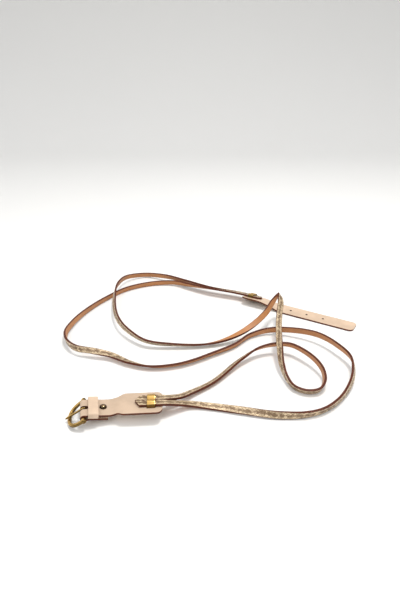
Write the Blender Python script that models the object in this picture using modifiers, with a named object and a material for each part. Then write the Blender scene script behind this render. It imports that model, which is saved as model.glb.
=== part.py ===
"""Two-strand leather brace: a buckle tab and a billet tab joined by two slim laminated strands.

Metres, +Z up. The brace lies on the plane z = 0. The near end carries the buckle, the far end the billet.
Each end has its own frame: u runs along the tab, v across it, w up. An empty places that frame in the world.
A wide part has a frame of its own too, its w measured from the middle of the leather.
"""

from math import asin, cos, pi, radians, sin

import bmesh
import bpy
from mathutils import Matrix, Vector

# ---------------------------------------------------------------- fits and stock
GAP = 0.0003              # between pieces that touch in the real brace
RUNNING = 0.0003          # radial clearance of whatever turns on the bar
LEATHER = 0.0018          # thickness of the tab leather
NECK_WIDTH = 0.0235       # width of the billet and of the buckle tab's neck
PAD_WIDTH = 0.0300        # width of the wide part of both tabs
PAD_LENGTH = 0.0340       # length of the wide part, without its shoulder
SHOULDER = 0.0080         # length of the curve from wide to narrow
PAD_CORNER = 0.0055       # corner radius at the end of the wide part
WELD = 0.000001           # points closer than this are one point
CUT = 0.0300              # how far a drill reaches past what it cuts

# ---------------------------------------------------------------- strands
STRAND_WIDTH = 0.0070
FACE_THICKNESS = 0.00115  # printed face leather
LINING_THICKNESS = 0.00105
BOND = GAP                # glue line between face and lining
STRAND_SPACING = 0.0004   # between the two strands under a clamp
TAIL = 0.0110             # strand beyond the clamp, on the tab
STRAND = FACE_THICKNESS + BOND + LINING_THICKNESS

# ---------------------------------------------------------------- buckle
BAR_RADIUS = 0.0011
FRAME_ROD = 0.0018        # radius of the frame's section
FRAME_DEPTH = 0.0155      # bar axis to the middle of the frame's front rail
FRAME_SQUARENESS = 2.5    # 2 is an ellipse, larger is squarer
FRAME_SIDE_PLAY = 0.0006  # between the neck and each side rail
LUG_RADIUS = 0.0023
LUG_LENGTH = 0.0034
PRONG_ROD = 0.00095
PRONG_SLOT = 0.0046       # width of the slot in the fold
PRONG_OVERHANG = 0.0022   # prong tip beyond the front rail
PRONG_TIP = 0.55          # thinning of the prong at its tip
FLAP_LENGTH = 0.0212      # end of the folded-back leather, from the bar
FLAP_RISE = 0.0060        # length over which the flap comes up from the fold

# ---------------------------------------------------------------- keeper and rivet
KEEPER_WIDTH = 0.0090
KEEPER_LEATHER = 0.0011
KEEPER_ROOM = 0.0021      # height left over the neck for the billet
KEEPER_CENTRE = 0.0081    # from the bar axis
KEEPER_EDGE = 0.0005      # rounding of its edges
RIVET_CENTRE = 0.0170
RIVET_RADIUS = 0.0033
RIVET_DOME = 0.0026
RIVET_SHANK = 0.0012
RIVET_HEAD = 0.0007

# ---------------------------------------------------------------- clamps
CLAMP_CENTRE = 0.0102     # from the end of the wide part
CLAMP_WIDTH = 0.0075
CLAMP_METAL = 0.0008
CLAMP_DIP = 0.0009        # the band is pressed down between the strands
CLAMP_TURN = 0.0035       # length of the leg turned in under the plate
PLATE_METAL = 0.0008

# ---------------------------------------------------------------- neck and billet
NECK_STRAIGHT = 0.0212    # bar axis to where the neck starts to bend towards the wide part
BILLET_LENGTH = 0.1530    # end of the wide part to the tip
BILLET_RISE = 0.0055      # the wide part stands this far off the table
BILLET_RAMP = 0.0400      # length over which it comes down
ROLL_HOLD = 0.0300        # distance from the end over which the wide part keeps its roll
FIRST_HOLE = 0.0680
HOLE_PITCH = 0.0220
HOLE_COUNT = 3
HOLE_RADIUS = 0.0015
TIP_CORNER = 0.0060

# ---------------------------------------------------------------- where the ends lie
NEAR_PLACE = (-0.1430, -0.1226, 0.0100)       # middle of the buckle bar
NEAR_HEADING = radians(13.0)
NEAR_PITCH = radians(9.0)                     # the neck falls away from the bar
NEAR_PAD_PLACE = (-0.0725, -0.1134, 0.0117)   # middle of the leather, at the end of the near wide part
NEAR_PAD_HEADING = radians(4.0)
FAR_PLACE = (0.0263, 0.1289, 0.0)             # under the middle of the far wide part's end, on the table
FAR_HEADING = radians(-32.2)
FAR_ROLL = radians(-16.0)                     # the far wide part is rolled, with its near edge up

# Routes of the strands between the tabs: x and y, the gap under the lowest edge in mm, the tilt in degrees.
# At tilt 0 the printed face is up. A positive tilt turns it to the right of the way to the billet.
ROUTE_A = [
    (-0.060, -0.111, 7.5, 0), (-0.047, -0.106, 2.5, 3), (-0.026, -0.108, 0.5, 14), (-0.001, -0.114, 0.4, 34),
    (0.039, -0.122, 0.4, 75), (0.058, -0.121, 0.4, 98), (0.074, -0.116, 0.5, 105), (0.091, -0.104, 1.0, 98),
    (0.108, -0.084, 2.5, 80), (0.120, -0.060, 5.0, 70), (0.124, -0.038, 7.5, 70), (0.116, -0.014, 8.5, 76),
    (0.100, 0.011, 8.0, 82), (0.070, 0.028, 5.0, 86), (0.047, 0.032, 2.5, 82), (0.022, 0.022, 0.7, 75),
    (0.002, 0.000, 0.4, 68), (-0.021, -0.016, 0.4, 57), (-0.068, -0.041, 0.4, 46), (-0.091, -0.043, 0.5, 38),
    (-0.114, -0.036, 2.0, 20), (-0.138, -0.023, 4.0, -13), (-0.158, -0.019, 5.0, -50),
    (-0.176, -0.014, 5.0, -75), (-0.191, 0.002, 4.0, -95), (-0.199, 0.024, 3.0, -105),
    (-0.198, 0.050, 2.0, -100), (-0.189, 0.086, 1.0, -85), (-0.171, 0.124, 0.4, -77),
    (-0.142, 0.162, 0.4, -75), (-0.106, 0.180, 0.4, -79), (-0.077, 0.180, 1.5, -75), (-0.053, 0.165, 4.0, -55),
    (-0.024, 0.147, 7.2, -30),
]
ROUTE_B = [
    (-0.064, -0.104, 8.7, -1), (-0.056, -0.098, 5.4, -6), (-0.047, -0.089, 2.6, -12),
    (-0.029, -0.074, 1.0, -22), (0.009, -0.031, 4.0, -36), (0.026, -0.018, 7.0, -48),
    (0.044, -0.012, 8.5, -56), (0.062, -0.013, 9.0, -61), (0.075, -0.026, 9.0, -70), (0.089, -0.062, 5.0, -94),
    (0.086, -0.076, 2.5, -108), (0.079, -0.085, 0.8, -114), (0.068, -0.087, 0.4, -118),
    (0.057, -0.081, 0.4, -114), (0.051, -0.068, 2.0, -95), (0.048, -0.050, 7.0, -65),
    (0.049, -0.027, 14.0, -35), (0.052, 0.003, 21.0, -8), (0.058, 0.038, 26.0, 14), (0.063, 0.062, 28.5, 20),
    (0.063, 0.077, 29.0, 64), (0.055, 0.067, 25.0, 108), (0.043, 0.045, 20.0, 124), (0.009, 0.017, 8.5, 175),
    (-0.015, 0.007, 2.5, 200), (-0.070, 0.000, 1.6, 227), (-0.100, 0.003, 4.0, 238), (-0.124, 0.023, 7.0, 266),
    (-0.155, 0.111, 10.0, 298), (-0.157, 0.160, 9.5, 282), (-0.148, 0.196, 4.5, 282),
    (-0.125, 0.212, 1.0, 284), (-0.093, 0.200, 3.5, 286), (-0.060, 0.177, 5.5, 308), (-0.023, 0.155, 6.0, 333),
]
SAMPLES = 3               # curve points to each stretch of a route

# ---------------------------------------------------------------- worked out from the values above
HALF_NECK = NECK_WIDTH / 2
FOLD_RADIUS = BAR_RADIUS + RUNNING + LEATHER / 2     # middle of the leather round the bar
TAB_TOP = FOLD_RADIUS + LEATHER / 2                  # upper face of the buckle tab, above the bar axis
TAB_UNDER = FOLD_RADIUS - LEATHER / 2
KEEPER_LOW = TAB_UNDER - GAP                         # the keeper's lower side runs between neck and flap
FLAP_MIDDLE = KEEPER_LOW - KEEPER_LEATHER - GAP - LEATHER / 2
EYE_RADIUS = BAR_RADIUS + RUNNING + PRONG_ROD        # middle of the prong's wire round the bar
RAIL_MIDDLE = HALF_NECK + FRAME_SIDE_PLAY + FRAME_ROD
FRAME_DROP = asin((NEAR_PLACE[2] - FRAME_ROD) / FRAME_DEPTH) + NEAR_PITCH
STRAND_MIDDLE = (STRAND_WIDTH + STRAND_SPACING) / 2  # each strand's offset from the tab's middle line
CLAMP_INSIDE = STRAND_WIDTH + STRAND_SPACING / 2 + GAP
LEG_MIDDLE = CLAMP_INSIDE + CLAMP_METAL / 2
PAD_TOP = LEATHER / 2                                # in a wide part's own frame, w starts in the leather


# ---------------------------------------------------------------- scene helpers
def clear_scene():
    for old in list(bpy.data.objects):
        bpy.data.objects.remove(old, do_unlink=True)


def collection(name):
    group = bpy.data.collections.new(name)
    bpy.context.scene.collection.children.link(group)
    return group


def material(name, colour, roughness, metallic=0.0):
    mat = bpy.data.materials.new(name)
    mat.use_nodes = True
    shader = mat.node_tree.nodes["Principled BSDF"]
    shader.inputs["Base Color"].default_value = (*colour, 1.0)
    shader.inputs["Roughness"].default_value = roughness
    shader.inputs["Metallic"].default_value = metallic
    return mat


def add(name, data, group, parent=None, mat=None):
    obj = bpy.data.objects.new(name, data)
    group.objects.link(obj)
    obj.parent = parent
    if mat:
        data.materials.append(mat)
    return obj


def empty(name, place, turn, parent=None):
    obj = add(name, None, PARTS, parent)
    obj.location = place
    obj.rotation_euler = turn
    return obj


def smooth(obj, angle=35.0):
    obj.data.shade_smooth()
    obj.data.set_sharp_from_angle(angle=radians(angle))


# ---------------------------------------------------------------- cutters and Booleans
def cutter(name, data, parent):
    obj = add(name, data, CUTTERS, parent)
    obj.hide_render = True
    obj.display_type = "WIRE"
    return obj


def box_mesh(name, low, high):
    bm = bmesh.new()
    bmesh.ops.create_cube(bm, size=1.0)
    size = Vector(high) - Vector(low)
    middle = (Vector(high) + Vector(low)) / 2
    bmesh.ops.transform(bm, verts=bm.verts, matrix=Matrix.Translation(middle) @ Matrix.Diagonal((*size, 1.0)))
    mesh = bpy.data.meshes.new(name)
    bm.to_mesh(mesh)
    bm.free()
    return mesh


def rod_mesh(name, radius, low, high, axis="Z", segments=24):
    """A cylinder along an axis through (0, 0, 0), from low to high on it."""
    turn = {"Z": Matrix(), "Y": Matrix.Rotation(-pi / 2, 4, "X")}[axis]
    bm = bmesh.new()
    bmesh.ops.create_cone(bm, cap_ends=True, segments=segments, radius1=radius, radius2=radius, depth=high - low)
    bmesh.ops.transform(bm, verts=bm.verts, matrix=turn @ Matrix.Translation((0, 0, (high + low) / 2)))
    mesh = bpy.data.meshes.new(name)
    bm.to_mesh(mesh)
    bm.free()
    return mesh


def boolean(obj, tool, operation="DIFFERENCE"):
    cut = obj.modifiers.new(tool.name, "BOOLEAN")
    cut.object = tool
    cut.operation = operation


def as_mesh(obj, mat):
    """Replaces a curve object by the welded mesh of its surface."""
    bpy.context.view_layer.update()
    mesh = bpy.data.meshes.new_from_object(obj.evaluated_get(bpy.context.evaluated_depsgraph_get()))
    bm = bmesh.new()
    bm.from_mesh(mesh)
    bmesh.ops.remove_doubles(bm, verts=bm.verts, dist=WELD)
    bmesh.ops.recalc_face_normals(bm, faces=bm.faces)
    bm.to_mesh(mesh)
    bm.free()
    name, parent, place, group = obj.name, obj.parent, obj.matrix_world.copy(), obj.users_collection[0]
    bpy.data.objects.remove(obj, do_unlink=True)
    made = add(name, mesh, group, parent, mat)
    made.matrix_world = place
    return made


def wire(name, points, rod, parent, mat, resolution=3, radii=None):
    """A round wire along the points."""
    curve = bpy.data.curves.new(name, "CURVE")
    curve.dimensions = "3D"
    curve.bevel_depth = rod
    curve.bevel_resolution = resolution
    curve.use_fill_caps = True
    spline = curve.splines.new("POLY")
    spline.points.add(len(points) - 1)
    for k, (point, co) in enumerate(zip(spline.points, points)):
        point.co = (*co, 1.0)
        point.radius = radii[k] if radii else 1.0
    return as_mesh(add(name, curve, PARTS, parent), mat)


# ---------------------------------------------------------------- tab leather
def ease(t):
    t = min(max(t, 0.0), 1.0)
    return t * t * (3 - 2 * t)


def tab_half_width(from_end):
    """Half the width of a tab at a distance from the end of its wide part."""
    half = PAD_WIDTH / 2
    if from_end < PAD_CORNER:
        return half - PAD_CORNER + (PAD_CORNER ** 2 - (PAD_CORNER - from_end) ** 2) ** 0.5
    return half + (HALF_NECK - half) * ease((from_end - PAD_LENGTH) / SHOULDER)


def loft(name, rings, parent, mat):
    """A closed solid through four-cornered sections. Upper and lower faces are split along the same diagonal."""
    bm = bmesh.new()
    rows = [[bm.verts.new(corner) for corner in ring] for ring in rings]
    for one, two in zip(rows, rows[1:]):
        for k in (0, 1):
            bm.faces.new((one[k], one[k + 1], two[k + 1]))
            bm.faces.new((one[k], two[k + 1], two[k]))
        for k in (2, 3):
            bm.faces.new((one[k], one[(k + 1) % 4], two[k]))
            bm.faces.new((one[(k + 1) % 4], two[(k + 1) % 4], two[k]))
    bm.faces.new(rows[0][::-1])
    bm.faces.new(rows[-1])
    bmesh.ops.recalc_face_normals(bm, faces=bm.faces)
    mesh = bpy.data.meshes.new(name)
    bm.to_mesh(mesh)
    bm.free()
    return add(name, mesh, PARTS, parent, mat)


def station(place, u, w, half_width, roll=0.0):
    """A station of a leather strip: its middle and the direction across it in the world, and half its width."""
    middle = place.matrix_world @ Vector((u, 0, w))
    across = place.matrix_world.to_3x3() @ Vector((0, cos(roll), sin(roll)))
    return middle, across, half_width


def leather_strip(name, stations, parent, mat):
    """Leather of one thickness through the stations."""
    back = parent.matrix_world.inverted()
    rings = []
    for k, (middle, across, half_width) in enumerate(stations):
        before, after = stations[max(k - 1, 0)][0], stations[min(k + 1, len(stations) - 1)][0]
        normal = (after - before).cross(across).normalized() * (LEATHER / 2)
        side = across * half_width
        ring = (middle - side - normal, middle + side - normal, middle + side + normal, middle - side + normal)
        rings.append([back @ corner for corner in ring])
    return loft(name, rings, parent, mat)


def pad_stations():
    """Distances from the end of the wide part: its corner, its sides and its shoulder."""
    corner = [PAD_CORNER * (1 - cos(k * pi / 12)) for k in range(1, 7)]
    shoulder = [PAD_LENGTH + SHOULDER * k / 8 for k in range(9)]
    return [PAD_CORNER * 0.01] + corner + shoulder


def neck_bend(pad_end, neck_end, steps=10):
    """Stations of the soft bend from the wide part to the straight neck, ends left out."""
    (one, across_one, _), (two, across_two, _) = pad_end, neck_end
    span = (two - one).length
    leave = NEAR_PAD.matrix_world.to_3x3() @ Vector((-span, 0, 0))
    arrive = NEAR.matrix_world.to_3x3() @ Vector((-span, 0, 0))
    made = []
    for k in range(1, steps):
        t = k / steps
        middle = (one * (2 * t ** 3 - 3 * t ** 2 + 1) + leave * (t ** 3 - 2 * t ** 2 + t)
                  + two * (3 * t ** 2 - 2 * t ** 3) + arrive * (t ** 3 - t ** 2))
        made.append((middle, across_one.lerp(across_two, t).normalized(), tab_half_width(PAD_LENGTH + span * t)))
    return made


def buckle_tab():
    """Wide part, soft bend, neck, fold round the bar and the flap folded back under the neck."""
    pad = [station(NEAR_PAD, -d, 0, tab_half_width(d)) for d in pad_stations() if d <= PAD_LENGTH]
    neck = [station(NEAR, NECK_STRAIGHT, FOLD_RADIUS, HALF_NECK)]
    turns = 16
    for k in range(turns + 1):
        angle = pi / 2 + pi * k / turns
        neck.append(station(NEAR, FOLD_RADIUS * cos(angle), FOLD_RADIUS * sin(angle), HALF_NECK))
    for k in range(1, 11):
        w = -FOLD_RADIUS + (FLAP_MIDDLE + FOLD_RADIUS) * ease(k / 10)
        neck.append(station(NEAR, FLAP_RISE * k / 10, w, HALF_NECK))
    neck.append(station(NEAR, FLAP_LENGTH, FLAP_MIDDLE, HALF_NECK))
    tab = leather_strip("buckle_tab", pad + neck_bend(pad[-1], neck[0]) + neck, NEAR, NUDE)
    reach = FOLD_RADIUS + LEATHER * 2
    slot_end = EYE_RADIUS + PRONG_ROD + 3 * GAP
    slot = box_mesh("prong_slot", (-reach, -PRONG_SLOT / 2, -reach), (slot_end, PRONG_SLOT / 2, reach))
    boolean(tab, cutter("prong_slot", slot, NEAR))
    hole = cutter("rivet_hole", rod_mesh("rivet_hole", RIVET_SHANK + GAP, -CUT, CUT), NEAR)
    hole.location.x = RIVET_CENTRE
    boolean(tab, hole)
    clamp_slits(tab, "near", NEAR_PAD, -CLAMP_CENTRE)


def billet_tab():
    """Wide part off the table and rolled, a ramp down, and the punched billet lying flat."""
    flat = CLAMP_CENTRE * 2
    tip = [TIP_CORNER * (1 - cos(k * pi / 16)) for k in range(8, -1, -1)]
    steps = sorted(set([flat + BILLET_RAMP * k / 20 for k in range(21)] + pad_stations()))
    steps += [BILLET_LENGTH - max(t, TIP_CORNER * 0.01) for t in tip]
    stations = []
    for u in steps:
        w = LEATHER / 2 + BILLET_RISE * (1 - ease((u - flat) / BILLET_RAMP))
        roll = FAR_ROLL * (1 - ease((u - ROLL_HOLD) / (flat + BILLET_RAMP - ROLL_HOLD)))
        to_tip = max(TIP_CORNER - (BILLET_LENGTH - u), 0.0)
        round_off = TIP_CORNER - (TIP_CORNER ** 2 - to_tip ** 2) ** 0.5
        stations.append(station(FAR, u, w, tab_half_width(u) - round_off, roll))
    tab = leather_strip("billet_tab", stations, FAR, NUDE)
    for k in range(HOLE_COUNT):
        hole = cutter("billet_hole_%d" % k, rod_mesh("billet_hole", HOLE_RADIUS, -CUT, CUT), FAR)
        hole.location.x = FIRST_HOLE + k * HOLE_PITCH
        boolean(tab, hole)
    clamp_slits(tab, "far", FAR_PAD, CLAMP_CENTRE)


# ---------------------------------------------------------------- clamps
def clamp_slits(tab, end, parent, u):
    """The two slits that a clamp's legs pass through."""
    half = CLAMP_METAL / 2 + GAP
    for side in (-1, 1):
        v = side * LEG_MIDDLE
        low = (u - CLAMP_WIDTH / 2 - GAP, v - half, -LEATHER)
        high = (u + CLAMP_WIDTH / 2 + GAP, v + half, LEATHER)
        name = "%s_slit_%d" % (end, side)
        boolean(tab, cutter(name, box_mesh(name, low, high), parent))


def clamp_outline():
    """Half of the band's middle line in (v, w), w from the leather's upper face: turned-in leg, side, crown, dip."""
    foot = -(LEATHER + GAP + PLATE_METAL + GAP + CLAMP_METAL / 2)
    crown = 2 * GAP + STRAND + CLAMP_METAL / 2
    bend = CLAMP_METAL
    points = [(LEG_MIDDLE - CLAMP_TURN, foot)]
    for k in range(5):
        angle = -pi / 2 + k * pi / 8
        points.append((LEG_MIDDLE - bend + bend * cos(angle), foot + bend + bend * sin(angle)))
    for k in range(5):
        angle = k * pi / 8
        points.append((LEG_MIDDLE - bend + bend * cos(angle), crown - bend + bend * sin(angle)))
    span = LEG_MIDDLE - bend
    for k in range(1, 11):
        points.append((span * (1 - k / 10), crown + CLAMP_DIP * sin(pi * k / 10) ** 2))
    return points


def clamp(name, parent, u):
    """The pressed band over both strands, its legs through the tab and turned in under a plate."""
    half = clamp_outline()
    outline = half + [(-v, w) for v, w in half[-2::-1]]
    bm = bmesh.new()
    rows = []
    for edge in (-CLAMP_WIDTH / 2, CLAMP_WIDTH / 2):
        rows.append([bm.verts.new((u + edge, v, PAD_TOP + w)) for v, w in outline])
    for k in range(len(outline) - 1):
        bm.faces.new((rows[0][k], rows[0][k + 1], rows[1][k + 1], rows[1][k]))
    mesh = bpy.data.meshes.new(name)
    bm.to_mesh(mesh)
    bm.free()
    band = add(name, mesh, PARTS, parent, GOLD)
    shell = band.modifiers.new("metal", "SOLIDIFY")
    shell.thickness = CLAMP_METAL
    shell.offset = 0.0
    shell.use_even_offset = True
    under = PAD_TOP - LEATHER - GAP
    low = (u - CLAMP_WIDTH / 2, -CLAMP_INSIDE + GAP, under - PLATE_METAL)
    high = (u + CLAMP_WIDTH / 2, CLAMP_INSIDE - GAP, under)
    add(name + "_plate", box_mesh(name + "_plate", low, high), PARTS, parent, GOLD)


# ---------------------------------------------------------------- buckle
def buckle_bar():
    half = RAIL_MIDDLE + LUG_LENGTH / 2
    bar = add("buckle_bar", rod_mesh("buckle_bar", BAR_RADIUS, -half, half, "Y"), PARTS, PIVOT, GOLD)
    smooth(bar)


def buckle_frame():
    """The D-shaped rail, a lug at each end and the bores for the bar."""
    points = []
    steps = 26
    for k in range(steps + 1):
        angle = pi / 2 + pi * k / steps
        c, s = cos(angle), sin(angle)
        power = 2 / FRAME_SQUARENESS
        points.append((-FRAME_DEPTH * abs(c) ** power, RAIL_MIDDLE * abs(s) ** power * (1 if s > 0 else -1), 0))
    frame = wire("buckle_frame", points, FRAME_ROD, PIVOT, GOLD)
    for side in (-1, 1):
        low, high = sorted((side * (RAIL_MIDDLE - LUG_LENGTH / 2), side * (RAIL_MIDDLE + LUG_LENGTH / 2)))
        lug = cutter("lug_%d" % side, rod_mesh("lug", LUG_RADIUS, low, high, "Y"), PIVOT)
        boolean(frame, lug, "UNION")
    bore = cutter("bar_bore", rod_mesh("bar_bore", BAR_RADIUS + GAP, -CUT, CUT, "Y"), PIVOT)
    boolean(frame, bore)
    smooth(frame)


def buckle_prong():
    """A wire bent round the bar, resting on the front rail."""
    rest = FRAME_ROD + GAP + PRONG_ROD
    turns = 18
    start, end = radians(-150), radians(90)
    points = []
    for k in range(turns + 1):
        angle = start + (end - start) * k / turns
        points.append((EYE_RADIUS * cos(angle), 0, EYE_RADIUS * sin(angle)))
    reach = FRAME_DEPTH + PRONG_OVERHANG
    steps = 8
    for k in range(1, steps + 1):
        part = k / steps
        points.append((-reach * part, 0, EYE_RADIUS + (rest - EYE_RADIUS) * ease(part)))
    radii = [1.0] * (len(points) - 1) + [PRONG_TIP]
    prong = wire("buckle_prong", points, PRONG_ROD, PIVOT, GOLD, radii=radii)
    smooth(prong)


# ---------------------------------------------------------------- keeper and rivet
def keeper_loop():
    """A closed leather band with room for the billet over the neck."""
    inside = (HALF_NECK + GAP, KEEPER_LOW, TAB_TOP + KEEPER_ROOM)
    half = KEEPER_WIDTH / 2
    outer = box_mesh("keeper_loop", (-half, -inside[0] - KEEPER_LEATHER, inside[1] - KEEPER_LEATHER),
                     (half, inside[0] + KEEPER_LEATHER, inside[2] + KEEPER_LEATHER))
    loop = add("keeper_loop", outer, PARTS, NEAR, NUDE)
    loop.location.x = KEEPER_CENTRE
    edges = loop.modifiers.new("corners", "BEVEL")
    edges.width = KEEPER_EDGE
    edges.segments = 4
    edges.limit_method = "NONE"
    hole = box_mesh("keeper_hole", (-half * 2, -inside[0], inside[1]), (half * 2, inside[0], inside[2]))
    tool = cutter("keeper_hole", hole, NEAR)
    tool.location.x = KEEPER_CENTRE
    boolean(loop, tool)


def turned(name, profile, parent, place, mat):
    """A profile of (radius, height), from the top of the axis down the outside to the bottom of the axis."""
    mesh = bpy.data.meshes.new(name)
    mesh.from_pydata([(r, 0, h) for r, h in profile], [(k, k + 1) for k in range(len(profile) - 1)], [])
    obj = add(name, mesh, PARTS, parent, mat)
    obj.location = place
    screw = obj.modifiers.new("turn", "SCREW")
    screw.steps = 32
    screw.render_steps = 32
    screw.use_merge_vertices = True
    screw.merge_threshold = WELD
    screw.use_smooth_shade = True
    return obj


def rivet():
    """A domed cap on the tab and a post with a flat head from below, its end in the cap's socket."""
    top = TAB_TOP + GAP
    socket = RIVET_SHANK + GAP
    depth = RIVET_DOME * 0.5
    dome = [(RIVET_RADIUS * sin(k * pi / 16), top + RIVET_DOME * cos(k * pi / 16)) for k in range(9)]
    cap = dome + [(socket, top), (socket, top + depth), (0, top + depth)]
    turned("rivet_cap", cap, NEAR, (RIVET_CENTRE, 0, 0), BRONZE)
    under = FLAP_MIDDLE - LEATHER / 2 - GAP
    post = [(0, top + depth - GAP), (RIVET_SHANK, top + depth - GAP), (RIVET_SHANK, under),
            (RIVET_RADIUS, under), (RIVET_RADIUS, under - RIVET_HEAD), (0, under - RIVET_HEAD)]
    turned("rivet_post", post, NEAR, (RIVET_CENTRE, 0, 0), BRONZE)


# ---------------------------------------------------------------- strands
def on_pad(parent, u, v, tilt):
    """The middle of a strand lying on a wide part, as a route point in the world."""
    return (*(parent.matrix_world @ Vector((u, v, PAD_TOP + GAP + STRAND / 2))), tilt)


def route(points, side, turns):
    """The whole way of a strand as x, y, z of its middle and its tilt: tail, clamp, listed points, clamp, tail."""
    v = side * STRAND_MIDDLE
    reach = CLAMP_WIDTH / 2 + TAIL
    way = [on_pad(NEAR_PAD, u, v, 0.0) for u in (-CLAMP_CENTRE - reach, -CLAMP_CENTRE, 0.0)]
    for x, y, gap, tilt in points:
        tilt = radians(tilt)
        lift = abs(sin(tilt)) * STRAND_WIDTH / 2 + abs(cos(tilt)) * STRAND / 2
        way.append((x, y, gap / 1000 + lift, tilt))
    way += [on_pad(FAR_PAD, u, v, FAR_ROLL + 2 * pi * turns) for u in (0.0, CLAMP_CENTRE, CLAMP_CENTRE + reach)]
    return [Vector(p) for p in way]


def smooth_way(way):
    """Points on a smooth curve through the route's own points."""
    gaps = [(b.xyz - a.xyz).length for a, b in zip(way, way[1:])]
    slopes = [(way[1] - way[0]) / gaps[0]]
    for k in range(1, len(way) - 1):
        before = (way[k] - way[k - 1]) / gaps[k - 1]
        after = (way[k + 1] - way[k]) / gaps[k]
        slopes.append((before * gaps[k] + after * gaps[k - 1]) / (gaps[k - 1] + gaps[k]))
    slopes.append((way[-1] - way[-2]) / gaps[-1])
    points = []
    for k, gap in enumerate(gaps):
        for step in range(SAMPLES):
            t = step / SAMPLES
            points.append(way[k] * (2 * t ** 3 - 3 * t ** 2 + 1) + slopes[k] * gap * (t ** 3 - 2 * t ** 2 + t)
                          + way[k + 1] * (3 * t ** 2 - 2 * t ** 3) + slopes[k + 1] * gap * (t ** 3 - t ** 2))
    return points + [way[-1]]


def strand_layer(name, points, low, high, mat):
    """One layer of a strand, from low to high above the glue line's middle, turned by the tilt at each point."""
    rings = []
    for k, point in enumerate(points):
        before, after = points[max(k - 1, 0)], points[min(k + 1, len(points) - 1)]
        along = (after.xyz - before.xyz).normalized()
        level = Vector((along.y, -along.x, 0)).normalized()
        turn = Matrix.Rotation(point.w, 3, along)
        across = turn @ level * (STRAND_WIDTH / 2)
        out = turn @ level.cross(along)
        rings.append((point.xyz - across + out * low, point.xyz + across + out * low,
                      point.xyz + across + out * high, point.xyz - across + out * high))
    loft(name, rings, None, mat)


def strands():
    for name, points, side, turns in (("strand_a", ROUTE_A, -1, 0), ("strand_b", ROUTE_B, 1, 1)):
        way = smooth_way(route(points, side, turns))
        strand_layer(name + "_face", way, BOND / 2, BOND / 2 + FACE_THICKNESS, PRINT)
        strand_layer(name + "_lining", way, -BOND / 2 - LINING_THICKNESS, -BOND / 2, TAN)


# ---------------------------------------------------------------- the model
clear_scene()
PARTS = collection("two_strand_brace")
CUTTERS = collection("cutters")
NUDE = material("nude_leather", (0.80, 0.62, 0.49), 0.55)
TAN = material("tan_lining", (0.60, 0.31, 0.15), 0.60)
PRINT = material("gold_print_leather", (0.62, 0.52, 0.33), 0.40, 0.35)
GOLD = material("gold_plate", (0.83, 0.60, 0.25), 0.18, 1.0)
BRONZE = material("antique_brass", (0.36, 0.25, 0.13), 0.30, 1.0)
NEAR = empty("near_end", NEAR_PLACE, (0, NEAR_PITCH, NEAR_HEADING))
NEAR_PAD = empty("near_pad", NEAR_PAD_PLACE, (0, 0, NEAR_PAD_HEADING))
FAR = empty("far_end", FAR_PLACE, (0, 0, FAR_HEADING))
FAR_PAD = empty("far_pad", (0, 0, BILLET_RISE + LEATHER / 2), (FAR_ROLL, 0, 0), FAR)
PIVOT = empty("buckle_pivot", (0, 0, 0), (0, -FRAME_DROP, 0), NEAR)
bpy.context.view_layer.update()
buckle_tab()
buckle_bar()
buckle_frame()
buckle_prong()
keeper_loop()
rivet()
clamp("near_clamp", NEAR_PAD, -CLAMP_CENTRE)
billet_tab()
clamp("far_clamp", FAR_PAD, CLAMP_CENTRE)
strands()
bpy.context.view_layer.update()
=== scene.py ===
"""Two-strand leather brace: its leather, prints, plated fittings and the studio it lies in.

Metres, +Z up, in the frame of the packed model. Each end has its own frame: u along the tab, v across it
and w up from it.
"""

from math import asin, cos, pi, radians, sin

import bmesh
import bpy
from mathutils import Matrix, Vector


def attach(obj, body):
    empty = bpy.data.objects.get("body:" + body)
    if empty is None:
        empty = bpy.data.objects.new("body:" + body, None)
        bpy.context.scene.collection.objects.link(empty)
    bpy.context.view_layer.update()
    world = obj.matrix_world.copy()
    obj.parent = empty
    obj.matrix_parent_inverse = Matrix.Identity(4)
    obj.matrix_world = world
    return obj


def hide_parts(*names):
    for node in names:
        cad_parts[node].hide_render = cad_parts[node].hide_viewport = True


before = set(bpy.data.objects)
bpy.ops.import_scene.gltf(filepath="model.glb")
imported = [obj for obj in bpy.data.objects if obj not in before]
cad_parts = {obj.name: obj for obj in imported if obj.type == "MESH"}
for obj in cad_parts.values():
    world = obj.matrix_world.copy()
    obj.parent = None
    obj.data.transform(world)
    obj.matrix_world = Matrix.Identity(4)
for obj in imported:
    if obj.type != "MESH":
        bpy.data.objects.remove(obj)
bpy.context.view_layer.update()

bl_info = {
    "name": "Two-strand leather brace",
    "version": (1, 0, 0),
    "blender": (4, 5, 0),
    "location": "View3D > Sidebar > Brace",
    "description": "Builds the leather, the prints and the plated fittings of a two-strand brace",
    "category": "Object",
}

# ---------------------------------------- the ends and the strands
NEAR_PLACE = (-0.1430, -0.1226, 0.0100)       # middle of the buckle bar
NEAR_HEADING = radians(13.0)
NEAR_PITCH = radians(9.0)                     # the neck falls away from the bar
NEAR_PAD_PLACE = (-0.0725, -0.1134, 0.0117)   # middle of the leather, at the end of the near wide part
NEAR_PAD_HEADING = radians(4.0)
FAR_PLACE = (0.0263, 0.1289, 0.0)             # under the middle of the far wide part's end, on the table
FAR_HEADING = radians(-32.2)
FAR_ROLL = radians(-16.0)                     # the far wide part is rolled, with its near edge up

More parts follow.
